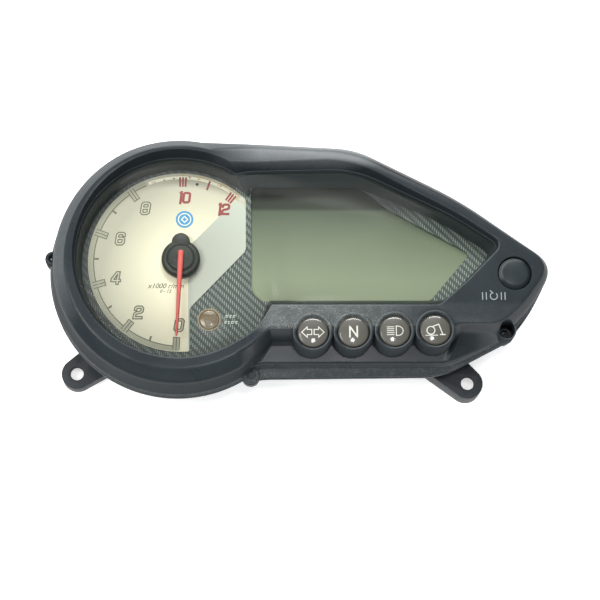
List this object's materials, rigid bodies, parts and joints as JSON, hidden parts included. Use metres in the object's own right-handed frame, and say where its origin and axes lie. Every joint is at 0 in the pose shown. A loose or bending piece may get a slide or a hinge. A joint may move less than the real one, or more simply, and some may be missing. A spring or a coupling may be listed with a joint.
{
  "type": "motorcycle instrument cluster",
  "caption": "Motorcycle instrument cluster: round needle tachometer beside a liquid crystal display, with warning lamps and a reset button in one black case.",
  "frame": {"origin": "middle of the bounding box seen from the front, on the plane of the three mounting points at the back", "axes": "+Z out of the dial towards the rider, +Y towards the hood, +X towards the reset button"},
  "size_m": [0.2443, 0.1253, 0.0535],
  "materials": {
    "bezel_black": "satin moulded, dark blue-grey black",
    "case_black": "fine grained moulding",
    "mask_black": "matt",
    "clear": "clear moulded acrylic",
    "carbon_print": "printed weave pattern",
    "dial_silver": "cream silver print",
    "needle_red": "translucent red",
    "hub_black": "satin",
    "display_glass": "grey-green display",
    "white_plastic": "satin",
    "nylon": "natural",
    "board_green": "solder mask",
    "lamp_smoke": "smoked, polished",
    "lamp_amber": "brown amber",
    "led_clear": "clear epoxy",
    "rubber": "matt",
    "steel": "zinc plated",
    "copper": "enamelled copper wire",
    "brass": "tinned",
    "magnet": "bonded ferrite"
  },
  "bodies": {
    "housing": {"front_bezel": "bezel_black", "rear_case": "case_black", "inner_mask": "mask_black", "lamp_light_tubes": "mask_black", "reset_switch": "mask_black", "clear_lens": "clear", "trim_plate": "carbon_print", "tacho_dial": "dial_silver", "lcd_glass": "display_glass", "lcd_backlight": "white_plastic", "lcd_housing": "white_plastic", "dial_light_chamber": "white_plastic", "motor_base": "white_plastic", "motor_cover": "white_plastic", "connector_socket": "nylon", "main_board": "board_green", "turn_lens": "lamp_smoke", "neutral_lens": "lamp_smoke", "high_beam_lens": "lamp_smoke", "side_stand_lens": "lamp_smoke", "rpm_limit_lens": "lamp_amber", "turn_led": "led_clear", "neutral_led": "led_clear", "high_beam_led": "led_clear", "side_stand_led": "led_clear", "rpm_limit_led": "led_clear", "lcd_zebra_strip": "rubber", "case_gasket": "rubber", "breather_vent": "rubber", "case_screw_1": "steel", "case_screw_2": "steel", "case_screw_3": "steel", "case_screw_4": "steel", "case_screw_5": "steel", "case_screw_6": "steel", "board_screw_1": "steel", "board_screw_2": "steel", "board_screw_3": "steel", "board_screw_4": "steel", "reset_spring": "steel", "motor_stator": "steel", "motor_coil_left": "copper", "motor_coil_right": "copper", "connector_pin_1": "brass", "connector_pin_2": "brass", "connector_pin_3": "brass", "connector_pin_4": "brass", "connector_pin_5": "brass", "connector_pin_6": "brass"},
    "pointer": {"pointer_hub": "hub_black", "pointer_needle": "needle_red", "output_gear": "nylon"},
    "layshaft": {"layshaft_gear": "nylon"},
    "rotor": {"motor_rotor": "magnet"},
    "button": {"reset_button": "bezel_black"},
    "plunger": {"reset_plunger": "nylon"}
  },
  "joints": [
    {"name": "tacho_needle", "type": "hinge", "parent": "housing", "child": "pointer", "pos_m": [-0.0545, 0.0039, 0.0209], "axis": [0, 0, -1], "range_deg": [0, 214.5]},
    {"name": "layshaft_spin", "type": "hinge", "parent": "housing", "child": "layshaft", "pos_m": [-0.0435, 0.0039, 0.0189], "axis": [0, 0, -1], "range_deg": [-965.25, 0]},
    {"name": "rotor_spin", "type": "hinge", "parent": "housing", "child": "rotor", "pos_m": [-0.0435, 0.0139, 0.0205], "axis": [0, 0, -1], "range_deg": [0, 3861]},
    {"name": "reset_press", "type": "slide", "parent": "housing", "child": "button", "axis": [0, 0, -1], "range_m": [0, 0.0015], "stiffness_N_per_m": 600, "springref_m": -0.0005, "deforming": ["reset_spring"]},
    {"name": "plunger_press", "type": "slide", "parent": "housing", "child": "plunger", "axis": [0, 0, -1], "range_m": [0, 0.0015]}
  ],
  "couplings": [
    {"joint": "layshaft_spin", "follows": "tacho_needle", "ratio": -4.5},
    {"joint": "rotor_spin", "follows": "tacho_needle", "ratio": 18},
    {"joint": "plunger_press", "follows": "reset_press", "ratio": 1}
  ]
}
